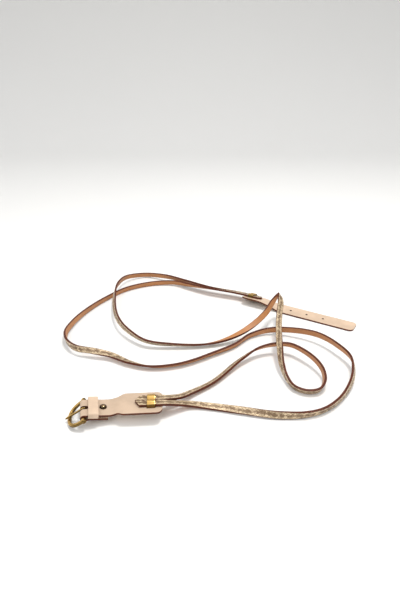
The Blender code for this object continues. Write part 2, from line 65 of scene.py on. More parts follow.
# ---------------------------------------- fits and small shapes
GAP = 0.0003              # between pieces that don't touch
GLUE = 0.00002            # half the line between the printed leather and the lining
RAIL_PLAY = 0.0006        # between the neck's edge and the frame
CUT_ROUNDING = 0.28       # rounding of a cut end, as a share of the leather's thickness
FLAT_FROM = 0.064         # where the flat strap's stations start, from the end of the wide part
FLAT_STEP = 0.0075        # between them
HALF_SLOT = 0.0023        # half the width of the prong's slot
SHANK = 0.0015            # radius of the rivet's hole and of the socket in its cap
SOCKET = 0.0009           # depth of that socket
CUTTER = 0.03             # how far a hole's cutter stands over and under the leather
TAIL_CUT = 0.0105         # length of a strand's pointed end
TAIL_SLOPE = 0.62         # how far the point is set back across the strand
FACE_ROUNDING = 0.0004    # outer edges of the strand
SEAM_ROUNDING = 0.00005   # edges at the glue line
FRAME_SQUARENESS = 2.5    # power of the frame's curve: 2 is round, more is squarer
FLATNESS = 0.92           # of the rail's and the prong's sections: the short way against the long way
RAIL_SQUARENESS = 2.6     # the same power for the sections of the rail,
PRONG_SQUARENESS = 2.4    # the prong,
BAND_SQUARENESS = 7.0     # the clamps' bands
KEEPER_SQUARENESS = 6.0   # and the keeper
LUG_SOFT = 0.0004         # rounding of the lugs and the bar's heads
PRONG_REACH = 0.0022      # of the prong's point past the middle of the front rail
PLATE = 0.0008            # thickness of a clamp's plate under the tab
LEG_TURN = 0.0035         # from a clamp's leg to the end of what is turned in under the plate
FOOT = 0.0025             # the flat part of that
CLAMP_HUMP = 0.0013       # rise of a clamp over the middle of each strand
KEEPER_BEND = 0.0014      # radius of the keeper's corners
RIM = 0.00025             # height of the rivet cap's rim
HEAD_FACE = 0.6           # flat face of the bar's heads, as a share of the bar's radius
HEAD_STEP = 0.00005       # between that face and the start of the rounding
EYE_START = -150.0        # where the wire of the prong's eye starts, in degrees round the bar
EYE_TURN = 240.0          # and how far it goes round
HOLES = 3                 # punched in the billet
UNCUT = 1.0               # a distance from a cut end that is too long for any rounding
FLOOR_DROP = 0.0002       # of the floor under the brace
CAMERA_PLACE = (-0.038, -0.446, 0.275)
CAMERA_TILT = radians(64.46)

# Routes of the strands between the tabs: x, y, the gap under the lowest edge in mm, the tilt in degrees.
# At tilt 0 the printed face is up. A positive tilt turns it to the right of the way to the billet.
ROUTE_A = [
    (-0.060, -0.111, 7.5, 0), (-0.047, -0.106, 2.5, 3), (-0.026, -0.108, 0.5, 14),
    (-0.001, -0.114, 0.4, 34), (0.039, -0.122, 0.4, 75), (0.058, -0.121, 0.4, 98),
    (0.074, -0.116, 0.5, 105), (0.091, -0.104, 1.0, 98), (0.108, -0.084, 2.5, 80),
    (0.120, -0.060, 5.0, 70), (0.124, -0.038, 7.5, 70), (0.116, -0.014, 8.5, 76),
    (0.100, 0.011, 8.0, 82), (0.070, 0.028, 5.0, 86), (0.047, 0.032, 2.5, 82), (0.022, 0.022, 0.7, 75),
    (0.002, 0.000, 0.4, 68), (-0.021, -0.016, 0.4, 57), (-0.068, -0.041, 0.4, 46),
    (-0.091, -0.043, 0.5, 38), (-0.114, -0.036, 2.0, 20), (-0.138, -0.023, 4.0, -13),
    (-0.158, -0.019, 5.0, -50), (-0.176, -0.014, 5.0, -75), (-0.191, 0.002, 4.0, -95),
    (-0.199, 0.024, 3.0, -105), (-0.198, 0.050, 2.0, -100), (-0.189, 0.086, 1.0, -85),
    (-0.171, 0.124, 0.4, -77), (-0.142, 0.162, 0.4, -75), (-0.106, 0.180, 0.4, -79),
    (-0.077, 0.180, 1.5, -75), (-0.053, 0.165, 4.0, -55), (-0.024, 0.147, 7.2, -30),
]
ROUTE_B = [
    (-0.064, -0.104, 8.7, -1), (-0.056, -0.098, 5.4, -6), (-0.047, -0.089, 2.6, -12),
    (-0.029, -0.074, 1.0, -22), (0.009, -0.031, 4.0, -36), (0.026, -0.018, 7.0, -48),
    (0.044, -0.012, 8.5, -56), (0.062, -0.013, 9.0, -61), (0.075, -0.026, 9.0, -70),
    (0.089, -0.062, 5.0, -94), (0.086, -0.076, 2.5, -108), (0.079, -0.085, 0.8, -114),
    (0.068, -0.087, 0.4, -118), (0.057, -0.081, 0.4, -114), (0.051, -0.068, 2.0, -95),
    (0.048, -0.050, 7.0, -65), (0.049, -0.027, 14.0, -35), (0.052, 0.003, 21.0, -8),
    (0.058, 0.038, 26.0, 14), (0.063, 0.062, 28.5, 20), (0.063, 0.077, 29.0, 64),
    (0.055, 0.067, 25.0, 108), (0.043, 0.045, 20.0, 124), (0.009, 0.017, 8.5, 175),
    (-0.015, 0.007, 2.5, 200), (-0.070, 0.000, 1.6, 227), (-0.100, 0.003, 4.0, 238),
    (-0.124, 0.023, 7.0, 266), (-0.155, 0.111, 10.0, 298), (-0.157, 0.160, 9.5, 282),
    (-0.148, 0.196, 4.5, 282), (-0.125, 0.212, 1.0, 284), (-0.093, 0.200, 3.5, 286),
    (-0.060, 0.177, 5.5, 308), (-0.023, 0.155, 6.0, 333),
]


# ---------------------------------------- settings
def length(name, description, default):
    return bpy.props.FloatProperty(name=name, description=description, default=default, min=0.0,
                                   unit="LENGTH", subtype="DISTANCE", precision=5)


def colour(name, description, default):
    return bpy.props.FloatVectorProperty(name=name, description=description, default=default, size=3,
                                         subtype="COLOR", min=0.0, max=1.0)


def amount(name, description, default, low=0.0, high=1.0):
    return bpy.props.FloatProperty(name=name, description=description, default=default, min=low, max=high,
                                   subtype="FACTOR")


def watts(name, description, default):
    return bpy.props.FloatProperty(name=name, description=description, default=default, min=0.0,
                                   unit="POWER")


class BraceSizes(bpy.types.PropertyGroup):
    """Sizes of the brace's pieces."""

    leather: length("Tab leather", "Thickness of the tab leather", 0.0018)
    neck_width: length("Neck width", "Width of the billet and of the buckle tab's neck", 0.0235)
    pad_width: length("Wide part", "Width of the wide part of both tabs", 0.0300)
    pad_length: length("Wide part length", "Length of the wide part, without its shoulder", 0.0340)
    shoulder: length("Shoulder", "Length of the curve from wide to narrow", 0.0080)
    pad_corner: length("Corner", "Corner radius at the end of the wide part", 0.0055)
    neck_straight: length("Straight neck", "From the bar to where the neck starts to bend", 0.0212)
    flap_length: length("Flap", "From the bar to the end of the folded-back leather", 0.0212)
    flap_rise: length("Flap rise", "Length over which the flap comes up from the fold", 0.0060)
    billet_length: length("Billet", "From the end of the wide part to the tip", 0.1530)
    billet_rise: length("Billet rise", "Height of the wide part over the table", 0.0055)
    billet_ramp: length("Billet ramp", "Length over which the billet comes down", 0.0400)
    roll_hold: length("Roll", "Length over which the far wide part keeps its roll", 0.0300)
    tip_corner: length("Tip corner", "Corner radius of the billet's tip", 0.0060)
    first_hole: length("First hole", "From the end of the wide part to the first punched hole", 0.0680)
    hole_pitch: length("Hole pitch", "Between punched holes", 0.0220)
    hole_radius: length("Hole radius", "Radius of a punched hole", 0.0015)
    strand_width: length("Strand width", "Width of each strand", 0.0070)
    face: length("Printed face", "Thickness of the printed leather", 0.00115)
    lining: length("Lining", "Thickness of the lining leather", 0.00105)
    strand_spacing: length("Strand spacing", "Between the two strands under a clamp", 0.0004)
    tail: length("Tail", "Strand beyond the clamp", 0.0110)
    clamp_width: length("Clamp width", "Width of the pressed band", 0.0075)
    clamp_centre: length("Clamp place", "From the end of the wide part", 0.0102)
    clamp_metal: length("Clamp metal", "Thickness of the pressed band", 0.0008)
    bar: length("Bar", "Radius of the buckle's bar", 0.0011)
    rail: length("Rail", "Radius of the buckle frame's section", 0.0018)
    frame_depth: length("Frame depth", "From the bar to the middle of the front rail", 0.0155)
    lug: length("Lug", "Radius of the frame's lugs", 0.0023)
    lug_length: length("Lug length", "Length of each lug along the bar", 0.0034)
    prong: length("Prong", "Radius of the prong's wire", 0.00095)
    keeper_width: length("Keeper width", "Width of the leather keeper", 0.0090)
    keeper_leather: length("Keeper leather", "Thickness of the keeper's leather", 0.0011)
    keeper_centre: length("Keeper place", "From the bar to the middle of the keeper", 0.0081)
    keeper_room: length("Keeper room", "Height left over the neck for the billet", 0.0021)
    rivet_centre: length("Rivet place", "From the bar to the rivet", 0.0170)
    rivet_radius: length("Rivet radius", "Radius of the rivet's cap", 0.0033)
    rivet_dome: length("Rivet dome", "Height of the rivet's cap", 0.0026)


class BraceFinish(bpy.types.PropertyGroup):
    """Colours and surface of the brace's finishes."""

    nude: colour("Nude leather", "Colour of the tab leather", (0.625, 0.465, 0.335))
    tan: colour("Tan lining", "Colour of the lining leather", (0.43, 0.180, 0.060))
    paint: colour("Edge paint", "Colour of the painted edges", (0.085, 0.018, 0.006))
    foil: colour("Foil", "Pale gold of the printed face", (0.75, 0.59, 0.385))
    print_dark: colour("Print", "Dark of the scale print", (0.105, 0.048, 0.017))
    gold: colour("Gold", "Colour of the plated fittings", (0.84, 0.53, 0.17))
    brass: colour("Antique brass", "Colour of the rivet", (0.26, 0.17, 0.095))
    scale_size: length("Scale", "Width of one printed scale", 0.0021)
    grain_size: length("Grain", "Size of the leather's grain", 0.00045)


class BraceStudio(bpy.types.PropertyGroup):
    """Floor, lights and camera."""

    floor: colour("Floor", "Colour of the floor", (0.84, 0.84, 0.83))
    key: watts("Key light", "Power of the soft light overhead", 12.5)
    fill: watts("Fill light", "Power of the front fill", 3.0)
    sky: amount("Surround", "Strength of the light from all round", 1.00, high=3.0)
    lens: bpy.props.FloatProperty(name="Lens", description="Focal length of the camera", default=27.0,
                                  min=1.0, unit="CAMERA")


# ---------------------------------------- worked out from the sizes
class Layout:
    """Places and fits that follow from the sizes."""

    def __init__(self, sizes):
        self.half = sizes.leather / 2
        self.half_neck = sizes.neck_width / 2
        self.fold = sizes.bar + GAP + self.half
        self.top = self.fold + self.half
        self.keeper_low = self.fold - self.half - GAP
        self.flap = self.keeper_low - sizes.keeper_leather - GAP - self.half
        self.eye = sizes.bar + GAP + sizes.prong
        self.rail_v = self.half_neck + RAIL_PLAY + sizes.rail
        self.drop = asin((NEAR_PLACE[2] - sizes.rail) / sizes.frame_depth) + NEAR_PITCH
        self.strand = sizes.face + GAP + sizes.lining
        self.strand_v = (sizes.strand_width + sizes.strand_spacing) / 2
        self.clamp_inside = sizes.strand_width + sizes.strand_spacing / 2 + GAP
        self.leg = self.clamp_inside + sizes.clamp_metal / 2
        self.near = (Matrix.Translation(NEAR_PLACE) @ Matrix.Rotation(NEAR_HEADING, 4, "Z")
                     @ Matrix.Rotation(NEAR_PITCH, 4, "Y"))
        self.near_pad = Matrix.Translation(NEAR_PAD_PLACE) @ Matrix.Rotation(NEAR_PAD_HEADING, 4, "Z")
        self.far = Matrix.Translation(FAR_PLACE) @ Matrix.Rotation(FAR_HEADING, 4, "Z")
        self.far_pad = (self.far @ Matrix.Translation((0, 0, sizes.billet_rise + self.half))
                        @ Matrix.Rotation(FAR_ROLL, 4, "X"))
        self.pivot = self.near @ Matrix.Rotation(-self.drop, 4, "Y")


# ---------------------------------------- shader building
class Nodes:
    """Places shader nodes in one tree and links them."""

    def __init__(self, tree):
        self.tree = tree

    def add(self, kind, values=None, **settings):
        node = self.tree.nodes.new(kind)
        for key, value in settings.items():
            setattr(node, key, value)
        for key, value in (values or {}).items():
            self.put(node.inputs[key], value)
        return node

    def put(self, socket, value):
        if isinstance(value, bpy.types.NodeSocket):
            self.tree.links.new(value, socket)
        else:
            socket.default_value = value

    def math(self, operation, first, second=0.0):
        return self.add("ShaderNodeMath", {0: first, 1: second}, operation=operation).outputs[0]

    def ramp(self, value, low, high, to_low=0.0, to_high=1.0):
        values = {"Value": value, "From Min": low, "From Max": high, "To Min": to_low, "To Max": to_high}
        return self.add("ShaderNodeMapRange", values, interpolation_type="SMOOTHSTEP").outputs[0]

    def mix(self, share, first, second, blend="MIX"):
        node = self.add("ShaderNodeMix", data_type="RGBA", blend_type=blend)
        self.put(node.inputs[0], share)
        self.put(node.inputs[6], first)
        self.put(node.inputs[7], second)
        return node.outputs[2]

    def noise(self, vector, scale, detail=2.0, roughness=0.5):
        values = {"Vector": vector, "Scale": scale, "Detail": detail, "Roughness": roughness}
        return self.add("ShaderNodeTexNoise", values).outputs["Fac"]

    def cells(self, vector, scale, feature, randomness=1.0):
        values = {"Vector": vector, "Scale": scale, "Randomness": randomness}
        return self.add("ShaderNodeTexVoronoi", values, feature=feature).outputs

    def bump(self, height, strength, distance):
        values = {"Height": height, "Strength": strength, "Distance": distance}
        return self.add("ShaderNodeBump", values).outputs["Normal"]


def effect(name, inputs, outputs):
    """A shader node group with named inputs and outputs: (Nodes, input sockets, output node)."""
    tree = bpy.data.node_groups.new(name, "ShaderNodeTree")
    for title, kind, default in inputs:
        socket = tree.interface.new_socket(name=title, in_out="INPUT", socket_type="NodeSocket" + kind)
        if default is not None:
            socket.default_value = default
    for title, kind in outputs:
        tree.interface.new_socket(name=title, in_out="OUTPUT", socket_type="NodeSocket" + kind)
    nodes = Nodes(tree)
    return nodes, nodes.add("NodeGroupInput").outputs, nodes.add("NodeGroupOutput").inputs


def placed(nodes, name, values):
    """One use of an effect, with its own values."""
    node = nodes.add("ShaderNodeGroup", node_tree=bpy.data.node_groups[name])
    for key, value in values.items():
        nodes.put(node.inputs[key], value)
    return node.outputs


def leather_grain():
    """Fine pores and soft creases of finished leather, with a slow change of tone."""
    nodes, given, out = effect(
        "leather_grain",
        [("Vector", "Vector", None), ("Size", "Float", 0.0005), ("Creases", "Float", 0.5)],
        [("Height", "Float"), ("Tone", "Float")],
    )
    scale = nodes.math("DIVIDE", 1.0, given["Size"])
    pores = nodes.cells(given["Vector"], scale, "SMOOTH_F1")["Distance"]
    fine = nodes.noise(given["Vector"], nodes.math("MULTIPLY", scale, 2.3), 3.0)
    creases = nodes.noise(given["Vector"], nodes.math("MULTIPLY", scale, 0.12), 4.0, 0.65)
    skin = nodes.math("ADD", nodes.math("MULTIPLY", pores, 0.7), nodes.math("MULTIPLY", fine, 0.45))
    deep = nodes.math("MULTIPLY", creases, given["Creases"])
    nodes.put(out["Height"], nodes.math("ADD", skin, deep))
    nodes.put(out["Tone"], nodes.ramp(nodes.noise(given["Vector"], 55.0, 3.0, 0.6), 0.3, 0.7))


def scale_print():
    """Foil printed with reptile scales: pale plates, dark seams and darker patches down the middle."""
    nodes, given, out = effect(
        "scale_print",
        [("Vector", "Vector", None), ("Size", "Float", 0.0017), ("Foil", "Color", (1, 1, 1, 1)),
         ("Dark", "Color", (0, 0, 0, 1))],
        [("Color", "Color"), ("Seam", "Float"), ("Height", "Float")],
    )
    scale = nodes.math("DIVIDE", 1.0, given["Size"])
    turned_lay = {"Vector": given["Vector"], "Scale": (0.72, 1.0, 1.0), "Rotation": (0, 0, radians(45))}
    stretched = nodes.add("ShaderNodeMapping", turned_lay).outputs[0]
    edge = nodes.cells(stretched, scale, "DISTANCE_TO_EDGE", 0.45)["Distance"]
    cell = nodes.cells(stretched, scale, "F1", 0.45)["Color"]
    tone = nodes.add("ShaderNodeSeparateColor", {"Color": cell}).outputs[0]
    seam = nodes.ramp(edge, 0.02, 0.11, 1.0, 0.0)
    across = nodes.add("ShaderNodeSeparateXYZ", {"Vector": given["Vector"]}).outputs[1]
    middle = nodes.ramp(nodes.math("ABSOLUTE", across), 0.0004, 0.0024, 0.13, -0.03)
    blotch = nodes.math("ADD", nodes.noise(given["Vector"], 170.0, 3.0, 0.7), middle)
    patches = nodes.ramp(blotch, 0.50, 0.64)
    plate = nodes.mix(nodes.math("MULTIPLY", tone, 0.45), given["Foil"], given["Dark"])
    marked = nodes.mix(nodes.math("MULTIPLY", patches, 0.85), plate, given["Dark"])
    nodes.put(out["Color"], nodes.mix(nodes.math("MULTIPLY", seam, 0.85), marked, given["Dark"]))
    nodes.put(out["Seam"], seam)
    nodes.put(out["Height"], nodes.ramp(edge, 0.0, 0.22))


def handling():
    """Faint smears and fine scratches on polished metal."""
    nodes, given, out = effect(
        "handling",
        [("Vector", "Vector", None), ("Scale", "Float", 400.0)],
        [("Smear", "Float"), ("Scratch", "Float")],
    )
    smear = nodes.noise(given["Vector"], nodes.math("MULTIPLY", given["Scale"], 0.6), 4.0, 0.6)
    drawn_out = {"Vector": given["Vector"], "Scale": (1.0, 0.08, 1.0)}
    stretched = nodes.add("ShaderNodeMapping", drawn_out).outputs[0]
    scratch = nodes.noise(stretched, nodes.math("MULTIPLY", given["Scale"], 9.0), 2.0)
    nodes.put(out["Smear"], nodes.ramp(smear, 0.35, 0.7))
    nodes.put(out["Scratch"], nodes.ramp(scratch, 0.55, 0.75))


def surface(name, roughness=0.5, metallic=0.0, **constants):
    """A new material's nodes and its shader's inputs, with the values that are the same all over."""
    mat = bpy.data.materials.new(name)
    mat.use_nodes = True
    nodes = Nodes(mat.node_tree)
    shader = mat.node_tree.nodes["Principled BSDF"]
    shader.inputs["Roughness"].default_value = roughness
    shader.inputs["Metallic"].default_value = metallic
    for key, value in constants.items():
        shader.inputs[key.replace("_", " ")].default_value = value
    return nodes, shader.inputs


def rgba(values):
    return (*values, 1.0)


def shaded(values, share):
    return tuple(v * share for v in values) + (1.0,)


def leather_material(name, tint, finish, roughness, creases, depth):
    """Grained leather whose tone drifts a little over the piece."""
    nodes, shader = surface(name, roughness)
    place = nodes.add("ShaderNodeTexCoord").outputs["Object"]
    values = {"Vector": place, "Size": finish.grain_size, "Creases": creases}
    grain = placed(nodes, "leather_grain", values)
    nodes.put(shader["Base Color"], nodes.mix(grain["Tone"], shaded(tint, 0.90), shaded(tint, 1.05)))
    sheen = nodes.ramp(grain["Height"], 0.2, 1.2, roughness + 0.10, roughness - 0.08)
    nodes.put(shader["Roughness"], sheen)
    nodes.put(shader["Normal"], nodes.bump(grain["Height"], 0.35, depth))


def paint_material(finish):
    """Glossy edge paint, brushed on a little unevenly."""
    nodes, shader = surface("painted_edge", 0.45, Specular_IOR_Level=0.25)
    place = nodes.add("ShaderNodeTexCoord").outputs["Object"]
    uneven = nodes.noise(place, 700.0, 3.0)
    thickness = nodes.ramp(uneven, 0.35, 0.7)
    tint = nodes.mix(thickness, shaded(finish.paint, 0.75), shaded(finish.paint, 1.5))
    nodes.put(shader["Base Color"], tint)
    nodes.put(shader["Roughness"], nodes.ramp(uneven, 0.3, 0.7, 0.40, 0.55))
    nodes.put(shader["Normal"], nodes.bump(uneven, 0.3, 0.00008))


def hole_shade_material():
    """The rough wall of a punched hole, near-black: painted shade for the dark inside of the hole."""
    nodes, shader = surface("punched", 0.9)
    fibres = nodes.noise(nodes.add("ShaderNodeTexCoord").outputs["Object"], 2500.0, 3.0)
    # the near-black tint is painted shade, not the colour of the leather's cut wall
    tint = nodes.mix(fibres, (0.010, 0.006, 0.004, 1.0), (0.035, 0.020, 0.012, 1.0))
    nodes.put(shader["Base Color"], tint)
    nodes.put(shader["Normal"], nodes.bump(fibres, 0.5, 0.0001))


def print_material(finish):
    """Foiled leather with the scale print, laid out along the strand."""
    nodes, shader = surface("gold_print", 0.38, 0.45)
    along = nodes.add("ShaderNodeUVMap", uv_map="lay").outputs["UV"]
    scales = placed(nodes, "scale_print", {"Vector": along, "Size": finish.scale_size,
                                           "Foil": rgba(finish.foil), "Dark": rgba(finish.print_dark)})
    grain = placed(nodes, "leather_grain", {"Vector": along, "Size": finish.grain_size, "Creases": 0.4})
    drift = nodes.math("MULTIPLY", grain["Tone"], 0.12)
    nodes.put(shader["Base Color"], nodes.mix(drift, scales["Color"], shaded(finish.foil, 1.15)))
    nodes.put(shader["Metallic"], nodes.ramp(scales["Seam"], 0.0, 1.0, 0.35, 0.05))
    nodes.put(shader["Roughness"], nodes.ramp(scales["Seam"], 0.0, 1.0, 0.38, 0.62))
    relief = nodes.math("ADD", scales["Height"], nodes.math("MULTIPLY", grain["Height"], 0.25))
    nodes.put(shader["Normal"], nodes.bump(relief, 0.5, 0.00012))


def metal_material(name, tint, roughness, darkening):
    """Polished plate with faint handling marks; painted shade darkens it where it faces sideways or down.
    """
    nodes, shader = surface(name, roughness, 1.0)
    spot = nodes.add("ShaderNodeTexCoord").outputs
    marks = placed(nodes, "handling", {"Vector": spot["Object"], "Scale": 400.0})
    facing = nodes.add("ShaderNodeSeparateXYZ", {"Vector": spot["Normal"]}).outputs[2]
    smeared = nodes.mix(marks["Smear"], rgba(tint), shaded(tint, darkening))
    # painted shade: faces turned up keep the full tint, faces turned sideways or down fall to 0.22 of it
    painted_light_facing_up = nodes.ramp(facing, 0.68, 0.95)
    nodes.put(shader["Base Color"], nodes.mix(painted_light_facing_up, shaded(tint, 0.22), smeared))
    nodes.put(shader["Roughness"], nodes.ramp(marks["Smear"], 0.0, 1.0, roughness, roughness + 0.10))
    nodes.put(shader["Normal"], nodes.bump(marks["Scratch"], 0.06, 0.00003))


def make_materials(finish):
    """Makes all the finishes, once."""
    if "nude_top" in bpy.data.materials:
        return
    leather_grain()
    scale_print()
    handling()
    leather_material("nude_top", finish.nude, finish, 0.52, 0.5, 0.00006)
    flesh = tuple(v * 0.86 for v in finish.nude)
    leather_material("nude_flesh", flesh, finish, 0.70, 0.9, 0.00012)
    leather_material("tan_leather", finish.tan, finish, 0.55, 0.6, 0.00008)
    paint_material(finish)
    hole_shade_material()
    print_material(finish)
    metal_material("gold", finish.gold, 0.16, 0.75)
    metal_material("antique_brass_polished", finish.brass, 0.20, 0.55)


def begin(context):
    """Makes the finishes if need be, and gives the sizes and what follows from them."""
    make_materials(context.scene.brace_finish)
    return context.scene.brace_sizes, Layout(context.scene.brace_sizes)


# ---------------------------------------- mesh building
def from_bmesh(name, bm, materials, place, body, sharp=40.0):
    """The finished piece: welded normals, smooth shading, its body and its material slot."""
    bmesh.ops.recalc_face_normals(bm, faces=bm.faces)
    mesh = bpy.data.meshes.new(name)
    bm.to_mesh(mesh)
    bm.free()
    for mat in materials:
        mesh.materials.append(bpy.data.materials[mat])
    mesh.shade_smooth()
    mesh.set_sharp_from_angle(angle=radians(sharp))
    obj = bpy.data.objects.new(name, mesh)
    bpy.context.scene.collection.objects.link(obj)
    obj.matrix_world = place
    bpy.context.view_layer.update()
    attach(obj, body)
    return obj


def edge_ring(half_width, low, high, low_round, high_round, across):
    """A strip's section as (v, w, side), going round from the lower right. side is top, edge or bottom."""
    ring = []
    quarter = [k * pi / 8 for k in range(5)]
    for sign, corners in ((1, ((low, low_round, 1), (high, high_round, -1))),
                          (-1, ((high, high_round, -1), (low, low_round, 1)))):
        for level, bend, up in corners:
            for angle in quarter if (up > 0) == (sign > 0) else quarter[::-1]:
                v = sign * (half_width - bend * (1 - sin(angle)))
                ring.append((v, level + up * bend * (1 - cos(angle)), "edge"))
        v, w, _ = ring[-1]
        side = "top" if sign > 0 else "bottom"
        ring[-1] = (v, w, side)
        ring += [(v - 2 * v * k / across, w, side) for k in range(1, across)]
    return ring


def swept_strip(name, stations, sides, materials, place, body):
    """A leather strip through stations of (middle, across, out, section, skew), mapped along and across.

    sides gives the material number of each side. skew moves a point along, by how far across it is.
    """
    bm = bmesh.new()
    lay = bm.loops.layers.uv.new("lay")
    rows = []
    spots = []
    travelled = 0.0
    for k, (middle, across, out, ring, skew) in enumerate(stations):
        if k:
            travelled += (middle - stations[k - 1][0]).length
        along = out.cross(across).normalized()
        row = [bm.verts.new(middle + across * v + out * w + along * skew(v)) for v, w, _ in ring]
        rows.append(row)
        spots.append([(travelled + skew(v), v) for v, w, _ in ring])
    count = len(rows[0])
    for k in range(len(rows) - 1):
        for j in range(count):
            i = (j + 1) % count
            face = bm.faces.new((rows[k][j], rows[k][i], rows[k + 1][i], rows[k + 1][j]))
            face.material_index = sides[stations[k][3][j][2]]
            corners = (spots[k][j], spots[k][i], spots[k + 1][i], spots[k + 1][j])
            for loop, spot in zip(face.loops, corners):
                loop[lay].uv = spot
    for row, spot in ((rows[0][::-1], spots[0][::-1]), (rows[-1], spots[-1])):
        cap = bm.faces.new(row)
        cap.material_index = sides["edge"]
        for loop, at in zip(cap.loops, spot):
            loop[lay].uv = at
    return from_bmesh(name, bm, materials, place, body)


def square_end(v):
    return 0.0


def ease(t):
    """Goes gently from 0 to 1 while t does, and stays there on either side."""
    t = min(max(t, 0.0), 1.0)
    return t * t * (3 - 2 * t)


def curve(one, leave, two, arrive, t):
    """The point at t on a smooth curve from one to two, with the ways it leaves and arrives."""
    return (one * (2 * t ** 3 - 3 * t ** 2 + 1) + leave * (t ** 3 - 2 * t ** 2 + t)
            + two * (3 * t ** 2 - 2 * t ** 3) + arrive * (t ** 3 - t ** 2))


def arc_drop(radius, short):
    """How far a round corner has come in where it is still short of its end."""
    return radius - max(radius ** 2 - short ** 2, 0.0) ** 0.5


def cut(obj, tools):
    """Cuts the tools out of the piece for good. The cut faces take the tool's material."""
    for tool in tools:
        step = obj.modifiers.new("cut", "BOOLEAN")
        step.object = tool
        step.solver = "EXACT"
        step.material_mode = "TRANSFER"
    bpy.context.view_layer.update()
    made = bpy.data.meshes.new_from_object(obj.evaluated_get(bpy.context.evaluated_depsgraph_get()))
    obj.modifiers.clear()
    old = obj.data
    obj.data = made
    made.name = old.name
    bpy.data.meshes.remove(old)
    made.set_sharp_from_angle(angle=radians(40.0))
    for tool in tools:
        bpy.data.objects.remove(tool, do_unlink=True)


def prism(outline, low, high, place, mat="painted_edge"):
    """A cutting tool: an outline of (u, v) from low to high."""
    bm = bmesh.new()
    rows = [[bm.verts.new((u, v, w)) for u, v in outline] for w in (low, high)]
    for k in range(len(outline)):
        i = (k + 1) % len(outline)
        bm.faces.new((rows[0][k], rows[0][i], rows[1][i], rows[1][k]))
    bm.faces.new(rows[0][::-1])
    bm.faces.new(rows[1])
    bmesh.ops.recalc_face_normals(bm, faces=bm.faces)
    mesh = bpy.data.meshes.new("cutter")
    bm.to_mesh(mesh)
    bm.free()
    mesh.materials.append(bpy.data.materials[mat])
    cutter = bpy.data.objects.new("cutter", mesh)
    bpy.context.scene.collection.objects.link(cutter)
    cutter.matrix_world = place
    return cutter


def round_hole(u, radius, steps=32):
    angles = [2 * pi * k / steps for k in range(steps)]
    return [(u + radius * cos(angle), radius * sin(angle)) for angle in angles]


def oblong(low, high, half, steps=10):
    """A slot's outline along u with round ends."""
    angles = [pi * k / steps for k in range(steps + 1)]
    right = [(high - half + half * sin(angle), -half * cos(angle)) for angle in angles]
    return right + [(low + half - half * sin(angle), half * cos(angle)) for angle in angles]


def square_outline(u_low, u_high, v_low, v_high):
    return [(u_low, v_low), (u_high, v_low), (u_high, v_high), (u_low, v_high)]


# ---------------------------------------- tabs
def tab_half_width(sizes, from_end):
    """Half the width of a tab, at a distance from the end of its wide part."""
    half = sizes.pad_width / 2
    if from_end < sizes.pad_corner:
        return half - arc_drop(sizes.pad_corner, sizes.pad_corner - from_end)
    return half + (sizes.neck_width / 2 - half) * ease((from_end - sizes.pad_length) / sizes.shoulder)


def station(place, u, w, half_width, from_end, roll=0.0):
    """A station of a tab: its middle, the way across, half its width and how far the cut end is."""
    across = place.to_3x3() @ Vector((0, cos(roll), sin(roll)))
    return place @ Vector((u, 0, w)), across, half_width, from_end


def tab_stations(path, sizes):
    """Sections of a tab through its stations, rounded off towards a cut end."""
    stations = []
    rounding = sizes.leather * CUT_ROUNDING
    for k, (middle, across, half_width, from_end) in enumerate(path):
        before, after = path[max(k - 1, 0)][0], path[min(k + 1, len(path) - 1)][0]
        out = (after - before).cross(across).normalized()
        half = sizes.leather / 2 - arc_drop(rounding, max(rounding - from_end, 0.0))
        bend = min(rounding, half * 0.9)
        ring = edge_ring(half_width, -half, half, bend, bend, 10)
        stations.append((middle, across, out, ring, square_end))
    return stations


def rounded(radius, steps):
    """Distances from an end over which something of that radius rounds off."""
    return [radius * (1 - cos(k * pi / 2 / steps)) for k in range(steps + 1)]


def cut_distances(sizes):
    return rounded(sizes.leather * CUT_ROUNDING, 5)


def wide_part_distances(sizes):
    """Where a wide part and its shoulder get stations, as distances from the cut end."""
    marks = cut_distances(sizes) + rounded(sizes.pad_corner, 12)
    marks += [sizes.pad_length + sizes.shoulder * k / 14 for k in range(15)]
    marks += [sizes.pad_length * k / 8 for k in range(1, 8)]
    return sorted(set(round(mark, 7) for mark in marks))


def clamp_slits(lay, sizes, u, place):
    """The cutters for the two slits that a clamp's legs pass through."""
    half = sizes.clamp_metal / 2 + GAP * 0.5
    along = sizes.clamp_width / 2 + GAP * 0.5
    outlines = [square_outline(u - along, u + along, side * lay.leg - half, side * lay.leg + half)
                for side in (-1, 1)]
    return [prism(outline, -sizes.leather, sizes.leather, place) for outline in outlines]


def tab_leather(name, path, sizes):
    return swept_strip(name, tab_stations(path, sizes), {"top": 0, "edge": 1, "bottom": 2},
                       ("nude_top", "painted_edge", "nude_flesh"), Matrix(), "brace")


